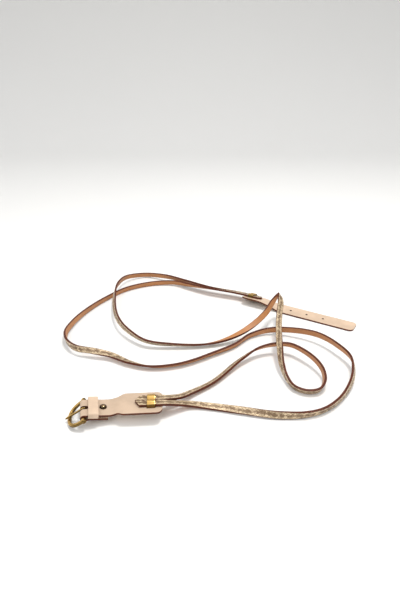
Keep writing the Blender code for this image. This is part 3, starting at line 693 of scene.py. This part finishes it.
class BRACE_OT_buckle_tab(bpy.types.Operator):
    """Makes the buckle tab: wide part, neck, fold round the bar and the flap under the neck"""

    bl_idname = "brace.buckle_tab"
    bl_label = "Buckle tab"

    def execute(self, context):
        sizes, lay = begin(context)
        path = [station(lay.near_pad, -d, 0, tab_half_width(sizes, d), d)
                for d in wide_part_distances(sizes) if d <= sizes.pad_length + 1e-6]
        one, two = path[-1], station(lay.near, sizes.neck_straight, lay.fold, lay.half_neck, UNCUT)
        span = (two[0] - one[0]).length
        leave = lay.near_pad.to_3x3() @ Vector((-span, 0, 0))
        arrive = lay.near.to_3x3() @ Vector((-span, 0, 0))
        for k in range(1, 20):
            t = k / 20
            half_width = tab_half_width(sizes, sizes.pad_length + span * t)
            path.append((curve(one[0], leave, two[0], arrive, t), one[1].lerp(two[1], t).normalized(),
                         half_width, UNCUT))
        neck = [(sizes.neck_straight * (1 - k / 6), lay.fold) for k in range(6)]
        for k in range(25):
            angle = pi / 2 + pi * k / 24
            neck.append((lay.fold * cos(angle), lay.fold * sin(angle)))
        for k in range(1, 17):
            neck.append((sizes.flap_rise * k / 16, -lay.fold + (lay.flap + lay.fold) * ease(k / 16)))
        path += [station(lay.near, u, w, lay.half_neck, UNCUT) for u, w in neck]
        for d in reversed(cut_distances(sizes)):
            path.append(station(lay.near, sizes.flap_length - d, lay.flap, lay.half_neck, d))
        tab = tab_leather("buckle_tab_leather", path, sizes)
        depth = lay.fold + sizes.leather * 2
        slot_end = lay.eye + sizes.prong + 3 * GAP
        tools = [prism(oblong(-depth, slot_end, HALF_SLOT), -depth, depth, lay.near),
                 prism(round_hole(sizes.rivet_centre, SHANK), -CUTTER, CUTTER, lay.near)]
        tools += clamp_slits(lay, sizes, -sizes.clamp_centre, lay.near_pad)
        cut(tab, tools)
        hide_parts("buckle_tab")
        return {"FINISHED"}


class BRACE_OT_billet_tab(bpy.types.Operator):
    """Makes the billet: wide part off the table, ramp, and the flat punched strap with its rounded tip"""

    bl_idname = "brace.billet_tab"
    bl_label = "Billet"

    def execute(self, context):
        sizes, lay = begin(context)
        flat = sizes.clamp_centre * 2
        ramp_end = flat + sizes.billet_ramp
        marks = [sizes.billet_length - d for d in cut_distances(sizes) + rounded(sizes.tip_corner, 12)]
        marks += [flat + sizes.billet_ramp * k / 24 for k in range(25)]
        marks += [FLAT_FROM + FLAT_STEP * k for k in range(11)]
        marks = set(wide_part_distances(sizes)) | set(round(mark, 7) for mark in marks)
        path = []
        for u in sorted(marks):
            to_tip = sizes.billet_length - u
            w = lay.half + sizes.billet_rise * (1 - ease((u - flat) / sizes.billet_ramp))
            off = arc_drop(sizes.tip_corner, max(sizes.tip_corner - to_tip, 0.0))
            roll = FAR_ROLL * (1 - ease((u - sizes.roll_hold) / (ramp_end - sizes.roll_hold)))
            half_width = tab_half_width(sizes, u) - off
            path.append(station(lay.far, u, w, half_width, min(u, to_tip), roll))
        tab = tab_leather("billet_leather", path, sizes)
        holes = [round_hole(sizes.first_hole + k * sizes.hole_pitch, sizes.hole_radius)
                 for k in range(HOLES)]
        # the holes' walls take the near-black punched finish, which is painted shade
        tools = [prism(hole, -CUTTER, CUTTER, lay.far, "punched") for hole in holes]
        tools += clamp_slits(lay, sizes, sizes.clamp_centre, lay.far_pad)
        cut(tab, tools)
        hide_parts("billet_tab")
        return {"FINISHED"}


# ---------------------------------------- strands
def on_pad(place, u, v, lay, tilt):
    """The middle of a strand lying on a wide part, with its tilt."""
    return Vector((*(place @ Vector((u, v, lay.half + GAP + lay.strand / 2))), tilt))


def strand_way(lay, sizes, points, side, turns):
    """A strand's way as x, y, z of its middle and its tilt: tail, clamp, listed points, clamp, tail."""
    v = side * lay.strand_v
    reach = sizes.clamp_width / 2 + sizes.tail
    starts = (-sizes.clamp_centre - reach, -sizes.clamp_centre, 0.0)
    way = [on_pad(lay.near_pad, u, v, lay, 0.0) for u in starts]
    for x, y, gap, tilt in points:
        tilt = radians(tilt)
        lift = abs(sin(tilt)) * sizes.strand_width / 2 + abs(cos(tilt)) * lay.strand / 2
        way.append(Vector((x, y, gap / 1000 + lift, tilt)))
    ends = (0.0, sizes.clamp_centre, sizes.clamp_centre + reach)
    return way + [on_pad(lay.far_pad, u, v, lay, FAR_ROLL + 2 * pi * turns) for u in ends]


def smooth_way(way, samples=9):
    """Points on a smooth curve through the route's own points."""
    gaps = [(b.xyz - a.xyz).length for a, b in zip(way, way[1:])]
    slopes = [(way[1] - way[0]) / gaps[0]]
    for k in range(1, len(way) - 1):
        before = (way[k] - way[k - 1]) / gaps[k - 1]
        after = (way[k + 1] - way[k]) / gaps[k]
        slopes.append((before * gaps[k] + after * gaps[k - 1]) / (gaps[k - 1] + gaps[k]))
    slopes.append((way[-1] - way[-2]) / gaps[-1])
    points = []
    for k, gap in enumerate(gaps):
        for step in range(samples):
            points.append(curve(way[k], slopes[k] * gap, way[k + 1], slopes[k + 1] * gap, step / samples))
    return points + [way[-1]]


def strand_frames(points):
    """Middle, across and out at each point: across to the right of the way, out off the face."""
    frames = []
    for k, point in enumerate(points):
        before, after = points[max(k - 1, 0)], points[min(k + 1, len(points) - 1)]
        along = (after.xyz - before.xyz).normalized()
        level = Vector((along.y, -along.x, 0)).normalized()
        turn = Matrix.Rotation(point.w, 3, along)
        frames.append((point.xyz, turn @ level, turn @ level.cross(along)))
    return frames


def pointed(side, from_end, first, sizes):
    """The cut of a tail, longest at the brace's middle line, so that two tails make one point."""
    fade = max(1.0 - from_end / TAIL_CUT, 0.0)

    def skew(v):
        back = TAIL_SLOPE * fade * (sizes.strand_width / 2 + side * v)
        return back if first else -back

    return skew


class BRACE_OT_strands(bpy.types.Operator):
    """Makes both strands, each a printed face glued to a tan lining, with pointed tails"""

    bl_idname = "brace.strands"
    bl_label = "Strands"

    def execute(self, context):
        sizes, lay = begin(context)
        half = sizes.strand_width / 2
        face = edge_ring(half, GLUE, GAP / 2 + sizes.face, SEAM_ROUNDING, FACE_ROUNDING, 8)
        lining = edge_ring(half, -GAP / 2 - sizes.lining, -GLUE, FACE_ROUNDING, SEAM_ROUNDING, 8)
        outward, inward = {"top": 0, "edge": 1, "bottom": 1}, {"top": 1, "edge": 1, "bottom": 0}
        kinds = (("_printed", face, outward, "gold_print", "gold_print_leather"),
                 ("_tan", lining, inward, "tan_leather", "tan_lining"))
        for name, points, side, turns in (("strand_a", ROUTE_A, -1, 0), ("strand_b", ROUTE_B, 1, 1)):
            frames = strand_frames(smooth_way(strand_way(lay, sizes, points, side, turns)))
            first, last = frames[0][0], frames[-1][0]
            for layer, ring, sides, mat, slot in kinds:
                stations = []
                for middle, across, out in frames:
                    from_start, from_end = (middle - first).length, (middle - last).length
                    skew = pointed(-side, min(from_start, from_end), from_start < from_end, sizes)
                    stations.append((middle, across, out, ring, skew))
                swept_strip(name + layer, stations, sides, (mat, "painted_edge"), Matrix(),
                                          "brace")
            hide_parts(name + "_face")
            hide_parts(name + "_lining")
        return {"FINISHED"}


# ---------------------------------------- plated fittings
def signed(value, power):
    return abs(value) ** power * (1 if value > 0 else -1)


def tube(name, points, up, half_side, half_up, power, mat, place, body, around, scales=None,
         closed=False):
    """A bar along points in a plane whose normal is up. A section of power 2 is round, more is squarer."""
    bm = bmesh.new()
    rows = []
    last = len(points) - 1
    for k, point in enumerate(points):
        if closed:
            before, after = points[k - 1], points[(k + 1) % len(points)]
        else:
            before, after = points[max(k - 1, 0)], points[min(k + 1, last)]
        along = (after - before).normalized()
        side = along.cross(up).normalized()
        scale = scales[k] if scales else 1.0
        row = []
        for j in range(around):
            angle = 2 * pi * j / around
            across = half_side * signed(cos(angle), 2 / power)
            lift = half_up * signed(sin(angle), 2 / power)
            row.append(bm.verts.new(point + (side * across + up * lift) * scale))
        rows.append(row)
    pairs = list(zip(rows, rows[1:])) + ([(rows[-1], rows[0])] if closed else [])
    for one, two in pairs:
        for j in range(around):
            i = (j + 1) % around
            bm.faces.new((one[j], one[i], two[i], two[j]))
    if not closed:
        bm.faces.new(rows[0][::-1])
        bm.faces.new(rows[-1])
    return from_bmesh(name, bm, (mat,), place, body, sharp=55.0)


def turned(name, profile, axis, mat, place, body, steps=48):
    """A profile of (radius, height) turned about the Y or Z axis of place."""
    bm = bmesh.new()
    rows = []
    for radius, height in profile:
        if radius < 1e-7:
            rows.append([bm.verts.new((0, 0, height))])
        else:
            angles = [2 * pi * k / steps for k in range(steps)]
            rows.append([bm.verts.new((radius * cos(a), radius * sin(a), height)) for a in angles])
    for one, two in zip(rows, rows[1:]):
        for k in range(steps):
            i = (k + 1) % steps
            corners = [one[k % len(one)], one[i % len(one)], two[i % len(two)], two[k % len(two)]]
            bm.faces.new(list(dict.fromkeys(corners)))
    if axis == "Y":
        bmesh.ops.transform(bm, verts=bm.verts, matrix=Matrix.Rotation(-pi / 2, 4, "X"))
    return from_bmesh(name, bm, (mat,), place, body, sharp=35.0)


def finish_node(name, mat):
    """Gives a piece of the packed model a finish."""
    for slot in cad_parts[name].material_slots:
        slot.material = bpy.data.materials[mat]


class BRACE_OT_buckle(bpy.types.Operator):
    """Makes the D-shaped buckle frame with its lugs, the bar with its end heads, and the prong"""

    bl_idname = "brace.buckle"
    bl_label = "Buckle"

    def make_frame(self, sizes, lay):
        points = []
        steps = 96
        power = 2 / FRAME_SQUARENESS
        for k in range(steps + 1):
            angle = pi / 2 + pi * k / steps
            u = -sizes.frame_depth * abs(cos(angle)) ** power
            points.append(Vector((u, lay.rail_v * signed(sin(angle), power), 0)))
        rail = tube("buckle_rail", points, Vector((0, 0, 1)), sizes.rail, sizes.rail * FLATNESS,
                    RAIL_SQUARENESS, "gold", lay.pivot, "buckle", 24)
        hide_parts("buckle_frame")
        outer, inner, half = sizes.lug, sizes.bar + GAP, sizes.lug_length / 2
        soft, softer = LUG_SOFT, LUG_SOFT * 0.3
        profile = [(inner, -half), (outer - soft, -half), (outer - softer, -half + softer),
                   (outer, -half + soft), (outer, half - soft), (outer - softer, half - softer),
                   (outer - soft, half), (inner, half), (inner, -half)]
        for name, side in (("left", 1), ("right", -1)):
            place = lay.pivot @ Matrix.Translation((0, side * lay.rail_v, 0))
            turned("buckle_lug_" + name, profile, "Y", "gold", place, "buckle")

    def make_bar(self, sizes, lay):
        reach = lay.rail_v + sizes.lug_length / 2
        head = [(0, reach), (sizes.bar * HEAD_FACE, reach - HEAD_STEP), (sizes.bar, reach - LUG_SOFT)]
        profile = [(radius, -height) for radius, height in head] + head[::-1]
        bar = turned("buckle_rod", profile, "Y", "gold", lay.pivot, "buckle")
        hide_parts("buckle_bar")

    def make_prong(self, sizes, lay):
        """The prong's wire: round the bar for its eye, then out to its point on the front rail."""
        rest = sizes.rail + GAP + sizes.prong
        reach = sizes.frame_depth + PRONG_REACH
        points = [Vector((lay.eye * cos(a), 0, lay.eye * sin(a)))
                  for a in (radians(EYE_START + EYE_TURN * k / 40) for k in range(41))]
        points += [Vector((-reach * k / 24, 0, lay.eye + (rest - lay.eye) * ease(k / 24)))
                   for k in range(1, 25)]
        scales = [1.0] * (len(points) - 3) + [0.93, 0.80, 0.55]
        prong = tube("buckle_prong_wire", points, Vector((0, 1, 0)), sizes.prong * FLATNESS, sizes.prong,
                     PRONG_SQUARENESS, "gold", lay.pivot, "prong", 20, scales)
        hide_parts("buckle_prong")

    def execute(self, context):
        sizes, lay = begin(context)
        self.make_frame(sizes, lay)
        self.make_bar(sizes, lay)
        self.make_prong(sizes, lay)
        return {"FINISHED"}


class BRACE_OT_clamps(bpy.types.Operator):
    """Makes the two pressed clamps, each with a band over both strands and a plate under the tab"""

    bl_idname = "brace.clamps"
    bl_label = "Clamps"

    def outline(self, lay, sizes):
        """The band's middle line in (v, w) over the leather's upper face: leg, side, hump, dip, back."""
        metal = sizes.clamp_metal
        foot = -(sizes.leather + GAP + PLATE + GAP + metal / 2)
        crown = 2 * GAP + lay.strand + metal / 2
        span = lay.leg - metal
        half = [(lay.leg - LEG_TURN + FOOT * k / 3, foot) for k in range(4)]
        half += [(span + metal * cos(a), foot + metal + metal * sin(a))
                 for a in (-pi / 2 + k * pi / 16 for k in range(1, 9))]
        half += [(span + metal * cos(a), crown - metal + metal * sin(a))
                 for a in (k * pi / 16 for k in range(9))]
        half += [(span * (1 - k / 24), crown + CLAMP_HUMP * abs(sin(pi * k / 24)) ** 1.2)
                 for k in range(1, 25)]
        return half + [(-v, w) for v, w in half[-2::-1]]

    def execute(self, context):
        sizes, lay = begin(context)
        points = [Vector((0, v, w)) for v, w in self.outline(lay, sizes)]
        for end, place, side in (("near", lay.near_pad, -1), ("far", lay.far_pad, 1)):
            at = place @ Matrix.Translation((side * sizes.clamp_centre, 0, lay.half))
            band = tube(end + "_clamp_band", points, Vector((1, 0, 0)), sizes.clamp_metal / 2,
                        sizes.clamp_width / 2, BAND_SQUARENESS, "gold", at, "brace", 32)
            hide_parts(end + "_clamp")
            finish_node(end + "_clamp_plate", "gold")
        return {"FINISHED"}


class BRACE_OT_keeper(bpy.types.Operator):
    """Makes the leather keeper that slides on the neck"""

    bl_idname = "brace.keeper"
    bl_label = "Keeper"

    def execute(self, context):
        sizes, lay = begin(context)
        half_leather = sizes.keeper_leather / 2
        side = lay.half_neck + GAP + half_leather
        low, high = lay.keeper_low - half_leather, lay.top + sizes.keeper_room + half_leather
        in_v, low_w, high_w = side - KEEPER_BEND, low + KEEPER_BEND, high - KEEPER_BEND
        corners = []
        for start, (v, w) in enumerate(((in_v, high_w), (-in_v, high_w), (-in_v, low_w), (in_v, low_w))):
            angles = [(start + k / 8) * pi / 2 for k in range(9)]
            corners.append([Vector((0, v + KEEPER_BEND * cos(angle), w + KEEPER_BEND * sin(angle)))
                            for angle in angles])
        points = []
        for corner, following in zip(corners, corners[1:] + corners[:1]):
            points += corner + [corner[-1].lerp(following[0], k / 8) for k in range(1, 8)]
        at = lay.near @ Matrix.Translation((sizes.keeper_centre, 0, 0))
        loop = tube("keeper_leather", points, Vector((1, 0, 0)), half_leather, sizes.keeper_width / 2,
                    KEEPER_SQUARENESS, "nude_top", at, "keeper", 40, closed=True)
        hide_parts("keeper_loop")
        return {"FINISHED"}


class BRACE_OT_rivet(bpy.types.Operator):
    """Makes the rivet's domed cap and finishes the post"""

    bl_idname = "brace.rivet"
    bl_label = "Rivet"

    def execute(self, context):
        sizes, lay = begin(context)
        base = lay.top + GAP * 0.3
        rim = sizes.rivet_radius
        profile = [(0.0, base + sizes.rivet_dome)]
        profile += [(rim * 0.98 * sin(a), base + RIM + (sizes.rivet_dome - RIM) * cos(a))
                    for a in (pi / 2 * k / 16 for k in range(1, 17))]
        profile += [(rim, base + RIM * 0.8), (rim, base + RIM * 0.2), (rim * 0.97, base), (SHANK, base),
                    (SHANK, base + SOCKET), (0.0, base + SOCKET)]
        at = lay.near @ Matrix.Translation((sizes.rivet_centre, 0, 0))
        cap = turned("rivet_dome", profile, "Z", "antique_brass_polished", at, "brace")
        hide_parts("rivet_cap")
        finish_node("rivet_post", "antique_brass_polished")
        return {"FINISHED"}


# ---------------------------------------- studio
class BRACE_OT_studio(bpy.types.Operator):
    """Places the camera and makes the pale floor, the surround and the soft lights"""

    bl_idname = "brace.studio"
    bl_label = "Studio"

    def camera(self, lens):
        data = bpy.data.cameras.new("camera")
        data.lens = lens
        data.sensor_width = 36.0
        data.clip_start = 0.01
        camera = bpy.data.objects.new("camera", data)
        camera.location = CAMERA_PLACE
        camera.rotation_euler = (CAMERA_TILT, 0, 0)
        bpy.context.scene.collection.objects.link(camera)
        bpy.context.scene.camera = camera

    def light(self, name, place, size, power, tint=(1.0, 1.0, 1.0)):
        """A soft rectangular light that faces the middle of the table."""
        data = bpy.data.lights.new(name, "AREA")
        data.shape = "RECTANGLE"
        data.size, data.size_y = size
        data.energy = power
        data.color = tint
        lamp = bpy.data.objects.new(name, data)
        lamp.location = place
        lamp.rotation_euler = (-Vector(place)).to_track_quat("-Z", "Y").to_euler()
        bpy.context.scene.collection.objects.link(lamp)

    def floor(self, tint):
        """The table's top as one sheet that curves up into a backdrop."""
        nodes, shader = surface("floor_paint", 0.75)
        drift = nodes.noise(nodes.add("ShaderNodeTexCoord").outputs["Object"], 2.0)
        nodes.put(shader["Base Color"], nodes.mix(drift, shaded(tint, 0.99), shaded(tint, 1.01)))
        bm = bmesh.new()
        half_wide, front, back, bend, top = 4.0, -2.0, 2.4, 0.8, 3.0
        profile = [(front, 0.0), (back - bend, 0.0)]
        profile += [(back - bend + bend * sin(a), bend * (1 - cos(a)))
                    for a in (k * pi / 32 for k in range(1, 17))]
        profile += [(back, top)]
        rows = [[bm.verts.new((x, y, z - FLOOR_DROP)) for y, z in profile]
                for x in (-half_wide, half_wide)]
        for k in range(len(profile) - 1):
            bm.faces.new((rows[0][k], rows[1][k], rows[1][k + 1], rows[0][k + 1]))
        mesh = bpy.data.meshes.new("floor")
        bm.to_mesh(mesh)
        bm.free()
        mesh.materials.append(bpy.data.materials["floor_paint"])
        mesh.shade_smooth()
        floor = bpy.data.objects.new("floor", mesh)
        bpy.context.scene.collection.objects.link(floor)

    def surround(self, strength):
        """Light from all round, dimmer near the horizon."""
        world = bpy.data.worlds.new("surround")
        world.use_nodes = True
        nodes = Nodes(world.node_tree)
        around = nodes.add("ShaderNodeTexCoord").outputs["Generated"]
        height = nodes.add("ShaderNodeSeparateXYZ", {"Vector": around}).outputs[2]
        shade = nodes.mix(nodes.ramp(height, 0.05, 0.70), (0.30, 0.29, 0.28, 1.0), (1.0, 1.0, 1.0, 1.0))
        background = world.node_tree.nodes["Background"].inputs
        nodes.put(background["Color"], shade)
        background["Strength"].default_value = strength
        bpy.context.scene.world = world

    def execute(self, context):
        studio = context.scene.brace_studio
        self.camera(studio.lens)
        self.floor(studio.floor)
        self.surround(studio.sky)
        self.light("key", (0.22, 0.12, 1.46), (0.30, 0.30), studio.key, (1.0, 0.98, 0.95))
        self.light("fill", (-0.5, -0.9, 0.9), (0.7, 0.5), studio.fill)
        context.scene.view_settings.view_transform = "Standard"
        return {"FINISHED"}


# ---------------------------------------- sidebar and registration
STEPS = (BRACE_OT_strands, BRACE_OT_buckle_tab, BRACE_OT_billet_tab, BRACE_OT_keeper, BRACE_OT_buckle,
         BRACE_OT_clamps, BRACE_OT_rivet, BRACE_OT_studio)
GROUPS = (("brace_sizes", BraceSizes), ("brace_finish", BraceFinish), ("brace_studio", BraceStudio))


class BRACE_PT_panel(bpy.types.Panel):
    """Lists the steps and their settings"""

    bl_idname = "BRACE_PT_panel"
    bl_label = "Two-strand brace"
    bl_space_type = "VIEW_3D"
    bl_region_type = "UI"
    bl_category = "Brace"

    def draw(self, context):
        for step in STEPS:
            self.layout.operator(step.bl_idname)
        for attribute, group in GROUPS:
            box = self.layout.box()
            box.label(text=group.__doc__)
            for key in group.__annotations__:
                box.prop(getattr(context.scene, attribute), key)


def register():
    for attribute, group in GROUPS:
        bpy.utils.register_class(group)
        setattr(bpy.types.Scene, attribute, bpy.props.PointerProperty(type=group))
    for cls in (*STEPS, BRACE_PT_panel):
        bpy.utils.register_class(cls)


def unregister():
    for cls in reversed((*STEPS, BRACE_PT_panel)):
        bpy.utils.unregister_class(cls)
    for attribute, group in reversed(GROUPS):
        delattr(bpy.types.Scene, attribute)
        bpy.utils.unregister_class(group)


def main():
    register()
    for step in STEPS:
        area, name = step.bl_idname.split(".")
        getattr(getattr(bpy.ops, area), name)()


if __name__ == "__main__":
    main()
